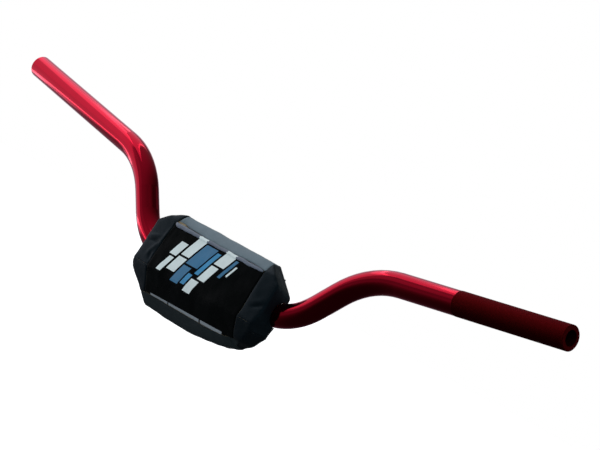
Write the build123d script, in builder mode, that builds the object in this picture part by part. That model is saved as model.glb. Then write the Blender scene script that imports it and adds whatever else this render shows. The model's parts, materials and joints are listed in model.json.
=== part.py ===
"""Bent, hollow handlebar with a strapped-on faceted crash pad, in millimetres.

Origin: centre of the clamp zone, on the tube's axis. +X is the rider's right,
+Y is forward and +Z is up, in the plane of the two risers.
"""

import os
from math import cos, radians, sin, tan

from build123d import *

os.makedirs("parts", exist_ok=True)

# Handlebar tube
clamp_diameter = 28.6
clamp_half_length = 46.0
clamp_wall = 5.0
taper_length = 22.0
taper_run_out = 4.9
tube_diameter = 22.2
tube_wall = 4.0
lower_bend_radius = 77.0
riser_angle = 48.4
riser_straight = 24.3
upper_bend_radius = 97.0
grip_straight = 190.6
grip_rise_angle = 7.9
grip_sweep_angle = 2.6
end_chamfer = 0.8

# Knurled zone under the left grip
knurl_length = 123.0
knurl_diameter = 22.6
knurl_chamfer = 0.2

# Crash pad, outside sizes
pad_centre_x = -3.0
pad_half_width = 91.0
pad_back_y = 0.0
pad_top_z = 41.0
pad_bottom_z = -47.0
front_top_inset = 23.4
front_top_y = 20.9
front_top_z = 31.0
ridge_inset = 21.5
ridge_y = 26.5
ridge_z = -15.0
front_bottom_inset = 23.5
front_bottom_y = 15.4
front_bottom_z = -38.0
shoulder_y = 25.0
top_edge_y = 13.7
bottom_edge_y = 8.1
lower_shoulder_y = 21.8
lower_shoulder_z = -21.5
top_corner_z = 24.0
top_corner_run = 28.0
top_corner_lean = 13.0
bottom_corner_run = 23.5

# Cover, straps and closures
cover_thickness = 1.2
tube_clearance = 0.3
lip_width = 3.4
lip_height = 2.2
lip_end_margin = 1.5
strap_width = 25.0
strap_thickness = 1.6
strap_inset = 31.0
strap_clearance = 0.6
strap_flange = 18.0
patch_length = 16.0
patch_width = 22.0
hook_thickness = 1.0
loop_thickness = 1.0


def reach(radius, arriving, leaving):
    """Distance from a corner of the axis to either end of the arc that rounds it."""
    return radius * tan(radians(arriving.get_angle(leaving) / 2))


def bend(corner, arriving, leaving, radius):
    """Start, middle and end of the arc that rounds a corner of the axis."""
    length = reach(radius, arriving, leaving)
    depth = (radius**2 + length**2) ** 0.5 - radius
    inward = (leaving - arriving).normalized()
    return corner - arriving * length, corner + inward * depth, corner + leaving * length


# Axis of the right half of the tube
taper_end_x = clamp_half_length + taper_length
bend_lead_x = taper_end_x + taper_run_out
clamp_direction = Vector(1, 0, 0)
riser_direction = Vector(cos(radians(riser_angle)), 0, sin(radians(riser_angle)))
grip_direction = Vector(
    cos(radians(grip_rise_angle)) * cos(radians(grip_sweep_angle)),
    -cos(radians(grip_rise_angle)) * sin(radians(grip_sweep_angle)),
    sin(radians(grip_rise_angle)),
)
lower_reach = reach(lower_bend_radius, clamp_direction, riser_direction)
upper_reach = reach(upper_bend_radius, riser_direction, grip_direction)
path_start = Vector(bend_lead_x, 0, 0)
lower_corner = path_start + clamp_direction * lower_reach
upper_corner = lower_corner + riser_direction * (lower_reach + riser_straight + upper_reach)
right_tip = upper_corner + grip_direction * (upper_reach + grip_straight)
left_tip = Vector(-right_tip.X, right_tip.Y, right_tip.Z)
lower_arc = bend(lower_corner, clamp_direction, riser_direction, lower_bend_radius)
upper_arc = bend(upper_corner, riser_direction, grip_direction, upper_bend_radius)

with BuildLine() as half_axis:
    ThreePointArc(*lower_arc)
    Line(lower_arc[2], upper_arc[0])
    ThreePointArc(*upper_arc)
    Line(upper_arc[2], right_tip)

start_plane = Plane(origin=path_start, x_dir=(0, 1, 0), z_dir=(1, 0, 0))
tip_plane = Plane(origin=left_tip, z_dir=(grip_direction.X, -grip_direction.Y, -grip_direction.Z))


def tube_form(clamp_radius, tube_radius):
    """Turned middle with its tapers, and a swept run on each side of it."""
    with BuildPart() as form:
        with BuildSketch(Plane.XY):
            with BuildLine():
                Line((0, 0), (0, clamp_radius))
                Line((0, clamp_radius), (clamp_half_length, clamp_radius))
                Spline(
                    (clamp_half_length, clamp_radius),
                    (taper_end_x, tube_radius),
                    tangents=[(1, 0), (1, 0)],
                )
                Line((taper_end_x, tube_radius), (bend_lead_x, tube_radius))
                Line((bend_lead_x, tube_radius), (bend_lead_x, 0))
                Line((bend_lead_x, 0), (0, 0))
            make_face()
        revolve(axis=Axis.X)
        with BuildSketch(start_plane):
            Circle(tube_radius)
        sweep(path=half_axis.wire())
        mirror(about=Plane.YZ)
    return form


bore_radius = tube_diameter / 2 - tube_wall
clamp_bore_radius = clamp_diameter / 2 - clamp_wall

with BuildPart() as knurled_zone:
    with BuildSketch(tip_plane):
        Circle(knurl_diameter / 2)
    extrude(amount=knurl_length)
    zone_edges = edges().filter_by(GeomType.CIRCLE).sort_by(Axis.X)
    chamfer(zone_edges[0], length=end_chamfer)
    chamfer(zone_edges[-1], length=knurl_chamfer)

with BuildPart() as handlebar_tube:
    add(tube_form(clamp_diameter / 2, tube_diameter / 2).part)
    tip_edges = edges().filter_by(GeomType.CIRCLE).sort_by(Axis.X)
    chamfer([tip_edges[0], tip_edges[-1]], length=end_chamfer)
    add(knurled_zone.part)
    add(tube_form(clamp_bore_radius, bore_radius).part, mode=Mode.SUBTRACT)
handlebar_tube.part.label = "handlebar_tube"

# Clear space that the pad leaves around the tube
tube_space = tube_form(
    clamp_diameter / 2 + tube_clearance,
    tube_diameter / 2 + tube_clearance,
)


front_top_half_width = pad_half_width - front_top_inset
ridge_half_width = pad_half_width - ridge_inset
front_bottom_half_width = pad_half_width - front_bottom_inset


def facet(first, second, third, inside=(0, 10, 0)):
    """Plane through three pad points, its normal turned away from the inside."""
    first, second, third = (Vector(*point) for point in (first, second, third))
    normal = (second - first).cross(third - first).normalized()
    if (first - Vector(*inside)).dot(normal) < 0:
        normal = normal * -1
    return Plane(origin=first + Vector(pad_centre_x, 0, 0), z_dir=normal)


def side_facets(side):
    """Facets of one end of the pad, from the front seam round to its back edge."""
    front_top = (side * front_top_half_width, front_top_y, front_top_z)
    ridge = (side * ridge_half_width, ridge_y, ridge_z)
    front_bottom = (side * front_bottom_half_width, front_bottom_y, front_bottom_z)
    shoulder = (side * pad_half_width, shoulder_y, ridge_z)
    lower_shoulder = (side * pad_half_width, lower_shoulder_y, lower_shoulder_z)
    corner_low = (side * pad_half_width, top_edge_y, top_corner_z)
    corner_high = (side * (pad_half_width - top_corner_run), top_edge_y, pad_top_z + 2)
    corner_back = (side * (pad_half_width - top_corner_lean), pad_back_y, top_corner_z + 5)
    heel_low = (side * (pad_half_width - bottom_corner_run), bottom_edge_y, pad_bottom_z)
    heel_back = (side * (pad_half_width - bottom_corner_run), pad_back_y, pad_bottom_z)
    return {
        "face": facet(front_top, ridge, shoulder),
        "wall": facet(
            shoulder,
            lower_shoulder,
            (side * pad_half_width, pad_back_y, 0),
        ),
        "crown": facet(corner_low, corner_high, corner_back),
        "chin": facet(ridge, front_bottom, lower_shoulder),
        "heel": facet(lower_shoulder, heel_low, heel_back),
    }


right_side = side_facets(1)
left_side = side_facets(-1)
front_top = (front_top_half_width, front_top_y, front_top_z)
front_bottom = (front_bottom_half_width, front_bottom_y, front_bottom_z)
ridge = (ridge_half_width, ridge_y, ridge_z)
front_facets = {
    "front_upper": facet(front_top, (0, front_top_y, front_top_z), ridge),
    "front_lower": facet(front_bottom, (0, front_bottom_y, front_bottom_z), ridge),
}
top_facets = {
    "top_slope": facet(front_top, (0, front_top_y, front_top_z), (0, top_edge_y, pad_top_z)),
    "top_flat": facet((0, 0, pad_top_z), (1, 0, pad_top_z), (0, 1, pad_top_z)),
}
bottom_facets = {
    "bottom_slope": facet(
        front_bottom,
        (0, front_bottom_y, front_bottom_z),
        (0, bottom_edge_y, pad_bottom_z),
    ),
    "bottom_flat": facet((0, 0, pad_bottom_z), (1, 0, pad_bottom_z), (0, 1, pad_bottom_z)),
}
all_facets = [
    *front_facets.values(),
    *top_facets.values(),
    *bottom_facets.values(),
    *right_side.values(),
    *left_side.values(),
]


def pad_form(inset):
    """Faceted pad shape with every facet moved inwards by the inset."""
    with BuildPart() as form:
        with BuildSketch(Plane.XZ.offset(-pad_back_y)):
            with Locations((pad_centre_x, 0)):
                Rectangle(2 * pad_half_width + 20, pad_top_z - pad_bottom_z + 60)
        extrude(amount=-(ridge_y + 10))
        for plane in all_facets:
            split(bisect_by=plane.offset(-inset), keep=Keep.BOTTOM)
    return form


def mitred_plate(own):
    """Cover layer on one facet, mitred against its neighbours."""
    with BuildPart() as plate:
        add(pad_form(0).part)
        split(bisect_by=own.offset(-cover_thickness), keep=Keep.TOP)
        for other in all_facets:
            meet = None if other is own else own.intersect(other)
            if meet is not None:
                bisector = (own.z_dir - other.z_dir).normalized()
                split(bisect_by=Plane(origin=meet.position, z_dir=bisector), keep=Keep.TOP)
    return plate


def cover_panel(facets):
    """One piece of cover cloth, folded over the given facets."""
    with BuildPart() as panel:
        for own in facets:
            add(mitred_plate(own).part)
        add(tube_space.part, mode=Mode.SUBTRACT)
    return panel


with BuildPart() as pad_foam_core:
    add(pad_form(cover_thickness).part)
    add(tube_space.part, mode=Mode.SUBTRACT)
pad_foam_core.part.label = "pad_foam_core"

front_panel = cover_panel(list(front_facets.values()))
front_panel.part.label = "front_panel"
top_gusset = cover_panel(list(top_facets.values()))
top_gusset.part.label = "top_gusset"
bottom_gusset = cover_panel(list(bottom_facets.values()))
bottom_gusset.part.label = "bottom_gusset"
upper_end_gusset_right = cover_panel([right_side[k] for k in ("face", "wall", "crown")])
upper_end_gusset_right.part.label = "upper_end_gusset_right"
upper_end_gusset_left = cover_panel([left_side[k] for k in ("face", "wall", "crown")])
upper_end_gusset_left.part.label = "upper_end_gusset_left"
lower_end_gusset_right = cover_panel([right_side[k] for k in ("chin", "heel")])
lower_end_gusset_right.part.label = "lower_end_gusset_right"
lower_end_gusset_left = cover_panel([left_side[k] for k in ("chin", "heel")])
lower_end_gusset_left.part.label = "lower_end_gusset_left"

# Back of the cover, above and below the tube
def back_panel(above):
    """Flat cloth on the back of the foam, on one side of the tube."""
    with BuildPart() as panel:
        with BuildSketch(Plane.XZ.offset(-pad_back_y)):
            outline = pad_form(0).faces().sort_by(Axis.Y)[0]
            add(outline)
        extrude(amount=cover_thickness)
        split(bisect_by=Plane.XY, keep=Keep.TOP if above else Keep.BOTTOM)
        add(tube_space.part, mode=Mode.SUBTRACT)
    return panel


back_panel_upper = back_panel(True)
back_panel_upper.part.label = "back_panel_upper"
back_panel_lower = back_panel(False)
back_panel_lower.part.label = "back_panel_lower"

# Straps round the back of the tube, closed with hook and loop below it
back_skin_y = pad_back_y - cover_thickness
loop_y = back_skin_y - loop_thickness
hook_y = loop_y - hook_thickness
strap_inner_radius = clamp_diameter / 2 + strap_clearance
strap_outer_radius = strap_inner_radius + strap_thickness
strap_side_z = strap_inner_radius
strap_offset = pad_half_width - strap_inset


def strap(centre_x):
    """Omega-shaped strap, flat on the back panel above and on the hook patch below."""
    with BuildPart() as band:
        with BuildSketch(Plane.YZ.offset(centre_x - strap_width / 2)):
            Circle(strap_outer_radius)
            Circle(strap_inner_radius, mode=Mode.SUBTRACT)
            with Locations((strap_outer_radius + back_skin_y, 0)):
                Rectangle(2 * strap_outer_radius, 3 * strap_outer_radius, mode=Mode.SUBTRACT)
            with Locations((back_skin_y - strap_thickness / 2, strap_side_z + strap_flange / 2)):
                Rectangle(strap_thickness, strap_flange)
            with Locations((hook_y - strap_thickness / 2, -strap_side_z - strap_flange / 2)):
                Rectangle(strap_thickness, strap_flange)
        extrude(amount=strap_width)
    return band


def patch(centre_x, front_y, thickness):
    """Rectangle of closure tape, flat behind the lower back panel."""
    with BuildPart() as tape:
        with BuildSketch(Plane.XZ.offset(-front_y)):
            with Locations((centre_x, -strap_side_z - strap_flange + patch_length / 2)):
                Rectangle(patch_width, patch_length)
        extrude(amount=thickness)
    return tape


strap_right = strap(pad_centre_x + strap_offset)
strap_right.part.label = "strap_right"
strap_left = strap(pad_centre_x - strap_offset)
strap_left.part.label = "strap_left"
loop_patch_right = patch(pad_centre_x + strap_offset, back_skin_y, loop_thickness)
loop_patch_right.part.label = "loop_patch_right"
loop_patch_left = patch(pad_centre_x - strap_offset, back_skin_y, loop_thickness)
loop_patch_left.part.label = "loop_patch_left"
hook_patch_right = patch(pad_centre_x + strap_offset, loop_y, hook_thickness)
hook_patch_right.part.label = "hook_patch_right"
hook_patch_left = patch(pad_centre_x - strap_offset, loop_y, hook_thickness)
hook_patch_left.part.label = "hook_patch_left"

# Rolled lip along the top edge of the front panel
lip_face = front_facets["front_upper"]
lip_rise = Vector(0, front_top_y - ridge_y, front_top_z - ridge_z).normalized()
lip_normal = lip_face.z_dir
lip_centre = Vector(pad_centre_x, front_top_y, front_top_z) - lip_rise * (lip_width / 2)
lip_plane = Plane(
    origin=lip_centre - Vector(front_top_half_width - lip_end_margin, 0, 0),
    x_dir=lip_rise,
    z_dir=(1, 0, 0),
)
lip_side = 1 if lip_plane.y_dir.dot(lip_normal) > 0 else -1
with BuildPart() as front_lip:
    with BuildSketch(lip_plane):
        Ellipse(lip_width / 2, lip_height)
        with Locations((0, -lip_side * lip_height)):
            Rectangle(2 * lip_width, 2 * lip_height, mode=Mode.SUBTRACT)
    extrude(amount=2 * (front_top_half_width - lip_end_margin))
front_lip.part.label = "front_lip"

for node in (
    handlebar_tube,
    pad_foam_core,
    front_panel,
    front_lip,
    top_gusset,
    bottom_gusset,
    upper_end_gusset_right,
    upper_end_gusset_left,
    lower_end_gusset_right,
    lower_end_gusset_left,
    back_panel_upper,
    back_panel_lower,
    strap_right,
    strap_left,
    hook_patch_right,
    hook_patch_left,
    loop_patch_right,
    loop_patch_left,
):
    part = node.part
    print(part.label, len(part.solids()), round(part.volume), part.is_valid)
    export_step(part, f"parts/{part.label}.step")
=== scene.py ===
"""Looks of a bent handlebar with a strapped-on crash pad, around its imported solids.

Everything is in metres in the solids' frame: origin at the centre of the clamp zone,
+X the rider's right, +Y forward, +Z up. Sizes in the classes are in millimetres.
"""

from __future__ import annotations

import json
import logging
import math
from collections.abc import Callable, Iterable, Sequence
from dataclasses import dataclass
from enum import Enum

import bmesh
import bpy
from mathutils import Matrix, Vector, geometry, noise

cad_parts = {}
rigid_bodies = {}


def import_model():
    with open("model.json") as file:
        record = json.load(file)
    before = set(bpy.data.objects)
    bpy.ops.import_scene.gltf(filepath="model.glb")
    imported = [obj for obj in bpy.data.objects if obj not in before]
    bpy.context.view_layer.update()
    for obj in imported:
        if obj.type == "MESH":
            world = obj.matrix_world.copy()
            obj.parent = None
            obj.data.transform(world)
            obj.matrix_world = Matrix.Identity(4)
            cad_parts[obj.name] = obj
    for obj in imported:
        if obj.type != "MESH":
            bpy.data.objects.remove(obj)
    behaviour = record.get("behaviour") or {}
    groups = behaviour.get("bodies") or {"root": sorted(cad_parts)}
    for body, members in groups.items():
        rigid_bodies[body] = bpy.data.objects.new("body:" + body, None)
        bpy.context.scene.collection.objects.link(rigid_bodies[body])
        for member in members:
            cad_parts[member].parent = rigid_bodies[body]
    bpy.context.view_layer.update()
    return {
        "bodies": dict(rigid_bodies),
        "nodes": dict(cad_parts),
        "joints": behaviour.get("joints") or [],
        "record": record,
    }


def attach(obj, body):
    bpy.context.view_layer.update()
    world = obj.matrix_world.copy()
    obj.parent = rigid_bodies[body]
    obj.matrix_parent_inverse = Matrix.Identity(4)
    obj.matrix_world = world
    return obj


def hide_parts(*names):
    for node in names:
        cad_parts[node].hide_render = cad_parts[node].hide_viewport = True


LOG = logging.getLogger("handlebar")
MM = 0.001
BODY = "root"
# Height of a row of even triangles, as a share of their side.
ROW = 0.866
# Distance in metres within which points are taken as one when faces are cut.
TOUCH = 1e-6


class Panel(Enum):
    """Parts of the pad's skin, each one piece of the cover."""

    FRONT = 0
    TOP = 1
    BOTTOM = 2
    UPPER_RIGHT = 3
    UPPER_LEFT = 4
    LOWER_RIGHT = 5
    LOWER_LEFT = 6
    BACK = 7


class Ink(Enum):
    """Finishes on the front sheet, in the order of its material slots."""

    GROUND = 0
    WHITE = 1
    BLUE = 2
    PALE_BLUE = 3
    SILVER = 4


# ---------------------------------------------------------------- helpers


def srgb(code: str) -> tuple[float, float, float, float]:
    """Turn an sRGB hex colour into linear values.

    Args:
        code: Six hex digits.

    Returns:
        Linear red, green, blue and an alpha of one.
    """
    out = []
    for start in (0, 2, 4):
        value = int(code[start : start + 2], 16) / 255
        out.append(value / 12.92 if value <= 0.04045 else ((value + 0.055) / 1.055) ** 2.4)
    return (out[0], out[1], out[2], 1.0)


def tone(code: str, share: float) -> tuple[float, ...]:
    """Linear values of a hex colour, made darker or lighter by a share."""
    return (*(share * c for c in srgb(code)[:3]), 1.0)


def only(obj: bpy.types.Object) -> bpy.types.Object:
    """Make one object the only one selected, and active.

    Args:
        obj: The object.

    Returns:
        The same object.
    """
    if bpy.context.object and bpy.context.object.mode != "OBJECT":
        bpy.ops.object.mode_set(mode="OBJECT")
    bpy.ops.object.select_all(action="DESELECT")
    obj.hide_set(False)
    obj.select_set(True)
    bpy.context.view_layer.objects.active = obj
    return obj


def finish_modifier(obj: bpy.types.Object, kind: str, **settings: object) -> None:
    """Add a modifier, set it and apply it.

    Args:
        obj: The object it works on.
        kind: Blender's name of the modifier.
        **settings: Values by property name.
    """
    only(obj)
    modifier = obj.modifiers.new(kind.lower(), kind)
    for name, value in settings.items():
        setattr(modifier, name, value)
    bpy.ops.object.modifier_apply(modifier=modifier.name)


def new_object(name: str, data: bpy.types.ID) -> bpy.types.Object:
    """Make an object of some data and link it to the scene."""
    obj = bpy.data.objects.new(name, data)
    bpy.context.scene.collection.objects.link(obj)
    return obj


def mesh_object(
    name: str, points: Iterable[Vector], faces: Iterable[Sequence[int]]
) -> bpy.types.Object:
    """Make a mesh object at the origin from points and faces.

    Args:
        name: The object's name.
        points: Corner points in metres.
        faces: Indices of each face's corners.

    Returns:
        The new object.
    """
    mesh = bpy.data.meshes.new(name)
    mesh.from_pydata([tuple(p) for p in points], [], [tuple(f) for f in faces])
    return new_object(name, mesh)


def cut_faces(
    shape: bmesh.types.BMesh, faces: Sequence[bmesh.types.BMFace], point: Vector, normal: Vector
) -> None:
    """Split some faces of a mesh along a plane.

    Args:
        shape: The mesh.
        faces: Its faces to split.
        point: Point on the plane.
        normal: The plane's normal.
    """
    parts = set(faces) | {e for f in faces for e in f.edges} | {v for f in faces for v in f.verts}
    bmesh.ops.bisect_plane(shape, geom=list(parts), dist=TOUCH, plane_co=point, plane_no=normal)


def enlist(obj: bpy.types.Object, node: str) -> None:
    """Attach a finished piece to the body and hide the CAD node that it replaces.

    Args:
        obj: The piece.
        node: The CAD node that it replaces.
    """
    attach(obj, BODY)
    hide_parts(node)
    LOG.info("%s: %d faces", obj.name, len(obj.data.polygons))


def solid_copy(node: str, name: str) -> bpy.types.Object:
    """Copy a CAD node's mesh as a merged, clean-faced object of its own.

    Args:
        node: The CAD node.
        name: The new object's name.

    Returns:
        The copy.
    """
    obj = new_object(name, bpy.data.objects[node].data.copy())
    only(obj)
    bpy.ops.object.mode_set(mode="EDIT")
    bpy.ops.mesh.select_all(action="SELECT")
    bpy.ops.mesh.remove_doubles(threshold=TOUCH)
    bpy.ops.mesh.dissolve_limited(angle_limit=math.radians(1))
    bpy.ops.mesh.normals_make_consistent(inside=False)
    bpy.ops.object.mode_set(mode="OBJECT")
    obj.data.materials.clear()
    return obj


def smooth(obj: bpy.types.Object, angle: float = 35.0) -> None:
    """Shade smooth, with edges sharper than the angle kept crisp.

    Args:
        obj: The object.
        angle: Angle in degrees.
    """
    only(obj)
    bpy.ops.object.shade_smooth_by_angle(angle=math.radians(angle))


def push(obj: bpy.types.Object, distance: Callable[[Vector], float]) -> None:
    """Move a mesh's points along their normals.

    Args:
        obj: The object.
        distance: Distance in metres at a point in metres.
    """
    points = obj.data.vertices
    # A moved point makes Blender work out every normal again, so they are read first.
    normals = [p.normal.copy() for p in points]
    for point, normal in zip(points, normals):
        point.co += normal * distance(point.co)


def ramp01(value: float, low: float, high: float) -> float:
    """Smooth step from 0 at low to 1 at high."""
    t = min(1.0, max(0.0, (value - low) / (high - low)))
    return t * t * (3 - 2 * t)


def profile(table: Sequence[tuple[float, float]], at: float) -> float:
    """Value between the points of a table, level past its ends.

    Args:
        table: Pairs of place and value, in rising order of place.
        at: The place.

    Returns:
        The value there.
    """
    if at <= table[0][0]:
        return table[0][1]
    for (low, first), (high, second) in zip(table, table[1:]):
        if at <= high:
            return first + (second - first) * ramp01(at, low, high)
    return table[-1][1]


# ---------------------------------------------------------------- finishes


class Nodes:
    """Node tree of one material or world, with one function that adds to it."""

    def __init__(self, owner: bpy.types.Material | bpy.types.World) -> None:
        """Open the tree.

        Args:
            owner: New material, named for the real finish, or new world.
        """
        owner.use_nodes = True
        self.owner = owner
        self.tree = owner.node_tree
        self.shader = self.tree.nodes.get("Principled BSDF")

    def feed(self, socket: bpy.types.NodeSocket, value: object) -> None:
        """Link a socket to another's output, or set its value."""
        if isinstance(value, bpy.types.NodeSocket):
            self.tree.links.new(value, socket)
        else:
            socket.default_value = value

    def add(
        self,
        kind: str,
        settings: dict[str, object] | None = None,
        inputs: dict[int | str, object] | None = None,
    ) -> bpy.types.Node:
        """Add a node.

        Args:
            kind: Blender's node type.
            settings: Values by property name.
            inputs: Values or output sockets by input name or number.

        Returns:
            The node.
        """
        node = self.tree.nodes.new(kind)
        for name, value in (settings or {}).items():
            setattr(node, name, value)
        for key, value in (inputs or {}).items():
            self.feed(node.inputs[key], value)
        return node

    def math(self, operation: str, *values: object) -> bpy.types.NodeSocket:
        """Add a Math node and give its output.

        Args:
            operation: The operation's name.
            *values: Numbers or sockets.

        Returns:
            The output socket.
        """
        inputs = dict(enumerate(values))
        return self.add("ShaderNodeMath", {"operation": operation}, inputs).outputs[0]

    def place(self, scale: tuple[float, float, float] = (1, 1, 1)) -> bpy.types.NodeSocket:
        """Object coordinates through a Mapping node.

        Args:
            scale: Scale of each axis.

        Returns:
            The vector socket.
        """
        coordinates = self.add("ShaderNodeTexCoord").outputs["Object"]
        mapping = self.add("ShaderNodeMapping", inputs={"Vector": coordinates, "Scale": scale})
        return mapping.outputs[0]

    def along(self, direction: Vector) -> bpy.types.NodeSocket:
        """Distance of the shaded point along a direction, in metres.

        Args:
            direction: Unit vector.

        Returns:
            The value socket.
        """
        coordinates = self.add("ShaderNodeTexCoord").outputs["Object"]
        node = self.add(
            "ShaderNodeVectorMath",
            {"operation": "DOT_PRODUCT"},
            {0: coordinates, 1: tuple(direction)},
        )
        return node.outputs["Value"]

    def noise(
        self, scale: float, detail: float = 2.0, stretch: tuple[float, float, float] = (1, 1, 1)
    ) -> bpy.types.NodeSocket:
        """Noise over the object, 0 to 1, of a scale per metre times each axis's stretch."""
        inputs = {"Vector": self.place(stretch), "Scale": scale, "Detail": detail}
        return self.add("ShaderNodeTexNoise", inputs=inputs).outputs[0]

    def cells(self, size: float, feature: str = "F1") -> bpy.types.NodeSocket:
        """Distance in cells over the object, of a size in millimetres."""
        inputs = {"Vector": self.place(), "Scale": 1 / (size * MM)}
        return self.add("ShaderNodeTexVoronoi", {"feature": feature}, inputs).outputs["Distance"]

    def blend_colours(self, factor: object, first: object, second: object) -> bpy.types.NodeSocket:
        """Mix two colours or sockets, where the factor is the second's share."""
        inputs = {0: factor, 6: first, 7: second}
        return self.add("ShaderNodeMix", {"data_type": "RGBA"}, inputs).outputs[2]

    def blend_values(self, factor: object, first: object, second: object) -> bpy.types.NodeSocket:
        """Mix two numbers or sockets, where the factor is the second's share."""
        return self.add("ShaderNodeMix", {}, {0: factor, 2: first, 3: second}).outputs[0]

    def bump(self, height: bpy.types.NodeSocket, depth: float, strength: float = 1.0) -> None:
        """Lead a height to the shader's normal.

        Args:
            height: Height socket, 0 to 1.
            depth: Depth in metres that a height of one stands for.
            strength: Share of the effect.
        """
        inputs = {"Height": height, "Distance": depth, "Strength": strength}
        node = self.add("ShaderNodeBump", inputs=inputs)
        self.tree.links.new(node.outputs[0], self.shader.inputs["Normal"])

    def shade(self, **values: object) -> bpy.types.Material:
        """Set or link the shader's sockets.

        Args:
            **values: Value or socket by socket name, with spaces as underscores.

        Returns:
            The material.
        """
        for key, value in values.items():
            self.feed(self.shader.inputs[key.replace("_", " ")], value)
        return self.owner


@dataclass(frozen=True)
class AnodisedAluminium:
    """Drawn aluminium tube, polished, then anodised red, with a knurled end."""

    colour: str = "CC1030"
    deep_colour: str = "C20B28"
    roughness: float = 0.1
    streak: float = 0.06
    coat: float = 0.08
    rim_tint: str = "FFF0FA"
    knurl_colour: str = "640A0D"
    knurl_rim: str = "FFC4C8"
    knurl_roughness: float = 0.55
    knurl_pitch: float = 1.0
    knurl_depth: float = 0.12
    knurl_length: float = 123.0
    knurl_radius: float = 11.3
    bore: float = 9.0
    end_depth: float = 0.4
    end_colour: str = "52080C"
    end_roughness: float = 0.7

    def material(self, tip: Vector, outward: Vector) -> bpy.types.Material:
        """Build the finish.

        Args:
            tip: Centre of the knurled end face, in metres.
            outward: Unit vector along the grip, towards the tip.

        Returns:
            The material.
        """
        nodes = Nodes(bpy.data.materials.new("red anodised aluminium"))
        run = nodes.along(outward)
        on_knurl = nodes.math("GREATER_THAN", run, tip.dot(outward) - self.knurl_length * MM)
        side = outward.cross(Vector((0, 0, 1))).normalized()
        rise = side.cross(outward).normalized()
        across = nodes.math("SUBTRACT", nodes.along(side), tip.dot(side))
        height = nodes.math("SUBTRACT", nodes.along(rise), tip.dot(rise))
        # The knurl is two sets of ridges that cross, one pitch apart round and along the tube.
        angle = nodes.math("ARCTAN2", height, across)
        turn = nodes.math("MULTIPLY", angle, self.knurl_radius / self.knurl_pitch)
        pitches = nodes.math("MULTIPLY", run, 1 / (self.knurl_pitch * MM))
        one = nodes.math("PINGPONG", nodes.math("ADD", pitches, turn), 1.0)
        two = nodes.math("PINGPONG", nodes.math("SUBTRACT", pitches, turn), 1.0)
        diamonds = nodes.math("MULTIPLY", nodes.math("MULTIPLY", one, two), on_knurl)
        nodes.bump(diamonds, self.knurl_depth * MM)
        # Drawing a tube leaves faint lines along it: noise stretched along X shows them.
        streaks = nodes.noise(1.0, 3.0, (6, 900, 900))
        dye = nodes.blend_colours(nodes.noise(60.0), srgb(self.deep_colour), srgb(self.colour))
        colour = nodes.blend_colours(on_knurl, dye, srgb(self.knurl_colour))
        spread = nodes.math("MULTIPLY", streaks, self.streak)
        shine = nodes.math("ADD", self.roughness - self.streak / 2, spread)
        rough = nodes.blend_values(on_knurl, shine, self.knurl_roughness)
        # The bore and the sawn end face keep little dye and no polish.
        squares = [nodes.math("MULTIPLY", value, value) for value in (across, height)]
        radial = nodes.math("SQRT", nodes.math("ADD", *squares))
        inside = nodes.math("MULTIPLY", nodes.math("LESS_THAN", radial, self.bore * MM), on_knurl)
        end = nodes.math("GREATER_THAN", run, tip.dot(outward) - self.end_depth * MM)
        raw = nodes.math("MAXIMUM", inside, end)
        return nodes.shade(
            Base_Color=nodes.blend_colours(raw, colour, srgb(self.end_colour)),
            Metallic=1.0,
            Roughness=nodes.blend_values(raw, rough, self.end_roughness),
            Coat_Weight=nodes.blend_values(on_knurl, self.coat, 0.0),
            Coat_Roughness=0.08,
            Specular_Tint=nodes.blend_colours(on_knurl, srgb(self.rim_tint), srgb(self.knurl_rim)),
        )


@dataclass(frozen=True)
class Vinyl:
    """Calendered vinyl sheet with a fine pressed leather grain."""

    name: str
    colour: str
    roughness: float
    grain: float = 0.9
    grain_depth: float = 0.05
    level: float = 0.5
    tint: str = "FFFFFF"

    def material(self) -> bpy.types.Material:
        """Build the finish.

        Returns:
            The material.
        """
        nodes = Nodes(bpy.data.materials.new(self.name))
        # Pebbles of the grain are flat on top, with a narrow valley between them.
        pebbles = nodes.math("MULTIPLY", nodes.cells(self.grain, "DISTANCE_TO_EDGE"), 6.0)
        nodes.bump(nodes.math("MINIMUM", pebbles, 1.0), self.grain_depth * MM, 0.5)
        patches = nodes.noise(45.0, 4.0)
        spread = nodes.math("MULTIPLY", patches, 0.1)
        return nodes.shade(
            Base_Color=nodes.blend_colours(patches, tone(self.colour, 0.8), tone(self.colour, 1.2)),
            Roughness=nodes.math("ADD", self.roughness - 0.05, spread),
            Specular_IOR_Level=self.level,
            Specular_Tint=srgb(self.tint),
        )


@dataclass(frozen=True)
class Woven:
    """Woven cloth or webbing: two sets of threads that cross."""

    name: str
    colour: str
    thread: float
    roughness: float = 0.75
    depth: float = 0.12
    sheen: float = 0.2

    def material(self) -> bpy.types.Material:
        """Build the finish.

        Returns:
            The material.
        """
        nodes = Nodes(bpy.data.materials.new(self.name))
        # A band wave repeats each 2*pi/20 of its scaled coordinate.
        inputs = {"Vector": nodes.place(), "Scale": 0.314 / (self.thread * MM), "Distortion": 0.0}
        waves = [
            nodes.add("ShaderNodeTexWave", {"bands_direction": axis}, inputs).outputs["Fac"]
            for axis in ("X", "Z")
        ]
        weave = nodes.math("MULTIPLY", *waves)
        height = nodes.math("ADD", weave, nodes.math("MULTIPLY", nodes.noise(800.0), 0.3))
        nodes.bump(height, self.depth * MM, 0.8)
        # The low points of the weave are painted darker: painted shade between the threads.
        return nodes.shade(
            Base_Color=nodes.blend_colours(weave, tone(self.colour, 0.6), srgb(self.colour)),
            Roughness=self.roughness,
            Sheen_Weight=self.sheen,
            Sheen_Roughness=0.5,
        )


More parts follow.
